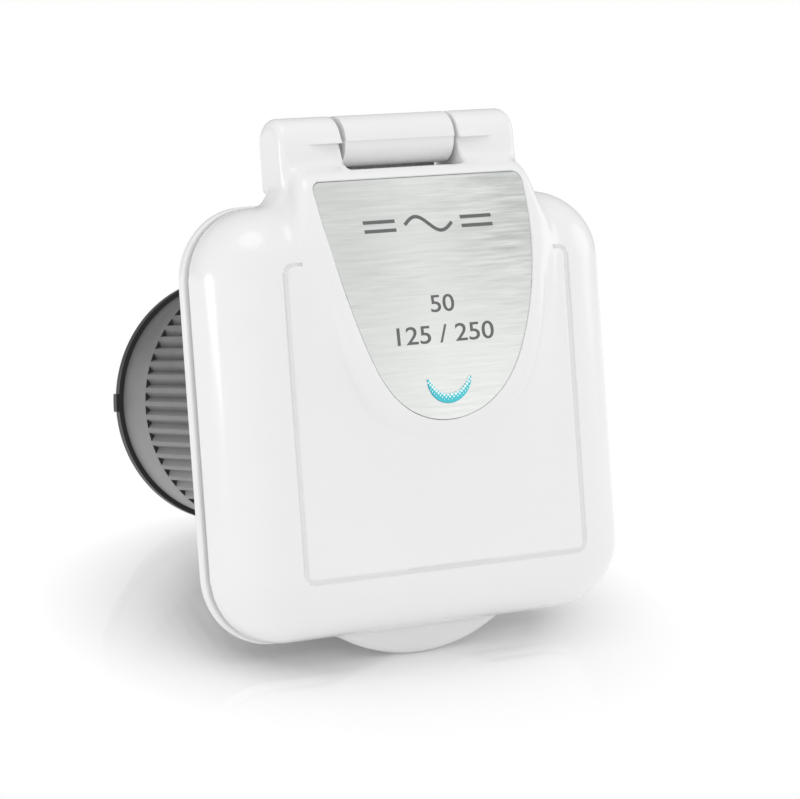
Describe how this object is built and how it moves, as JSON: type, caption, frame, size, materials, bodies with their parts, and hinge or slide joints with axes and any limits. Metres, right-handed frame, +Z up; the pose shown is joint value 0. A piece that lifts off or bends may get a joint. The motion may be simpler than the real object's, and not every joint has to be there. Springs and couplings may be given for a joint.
{
  "type": "shore power inlet",
  "caption": "Square flush-mounted shore power inlet with a sprung hinged lid, a steel trim plate, and a ribbed twist-off rear cover with a cable gland.",
  "frame": {"origin": "where the barrel's axis meets the wall's outer face, which is the rear face of the gasket and the centre of the four wall screws", "axes": "+X to the right of somebody facing the inlet, +Y into the wall along the barrel's axis, +Z up"},
  "size_m": [0.13, 0.1607, 0.1536],
  "materials": {
    "gloss_white": "glossy moulded ABS, lid",
    "white_plastic": "satin-gloss moulded ABS",
    "black_rubber": "moulded EPDM rubber",
    "stainless_steel": "drawn stainless rod",
    "spring_steel": "stainless spring wire",
    "screw_steel": "bright stainless screws",
    "black_insulator": "glass-filled thermoset",
    "brass": "nickel-free brass contacts",
    "led_lens": "moulded lamp body",
    "circuit_board": "glass-fibre board",
    "dark_plastic": "fine-textured dark grey nylon",
    "black_plastic": "fine-textured black nylon",
    "brushed_steel": "horizontally brushed stainless sheet",
    "turquoise_lens": "translucent turquoise light pipe"
  },
  "bodies": {
    "inlet": {"wall_gasket": "black_rubber", "base_plate": "white_plastic", "hinge_pin": "stainless_steel", "hinge_spring_left": "spring_steel", "hinge_spring_right": "spring_steel", "socket_collar": "white_plastic", "contact_carrier": "black_insulator", "blade_line_1": "brass", "blade_line_2": "brass", "blade_neutral": "brass", "ground_pin": "brass", "terminal_block": "black_insulator", "terminal_line_1": "brass", "terminal_line_2": "brass", "terminal_neutral": "brass", "terminal_ground": "brass", "terminal_screws": "screw_steel", "carrier_screws": "screw_steel", "indicator_led": "led_lens", "indicator_board": "circuit_board", "rear_housing": "dark_plastic", "housing_screws": "screw_steel", "cover_seal": "black_rubber"},
    "lid": {"lid_shell": "gloss_white", "lid_liner": "white_plastic", "lid_seal": "black_rubber", "liner_screws": "screw_steel", "steel_trim_plate": "brushed_steel", "indicator_lens": "turquoise_lens"},
    "rear_cover": {"rear_cover": "dark_plastic", "rear_end_cap": "black_plastic", "end_cap_screws": "screw_steel", "gland_seal": "black_rubber"},
    "gland_nut": {"gland_nut": "black_plastic"}
  },
  "joints": [
    {"name": "lid_hinge", "type": "hinge", "parent": "inlet", "child": "lid", "pos_m": [0, -0.009, 0.0746], "axis": [-1, 0, 0], "range_deg": [0, 110], "stiffness_Nm_per_rad": 0.06, "springref_deg": -68.75, "deforming": ["hinge_spring_left", "hinge_spring_right"]},
    {"name": "rear_cover_twist", "type": "hinge", "parent": "inlet", "child": "rear_cover", "pos_m": [0, 0.05, 0], "axis": [0, 1, 0], "range_deg": [0, 25]},
    {"name": "gland_nut_turn", "type": "hinge", "parent": "rear_cover", "child": "gland_nut", "pos_m": [0, 0.117, 0], "axis": [0, 1, 0], "range_deg": [0, 360]}
  ]
}
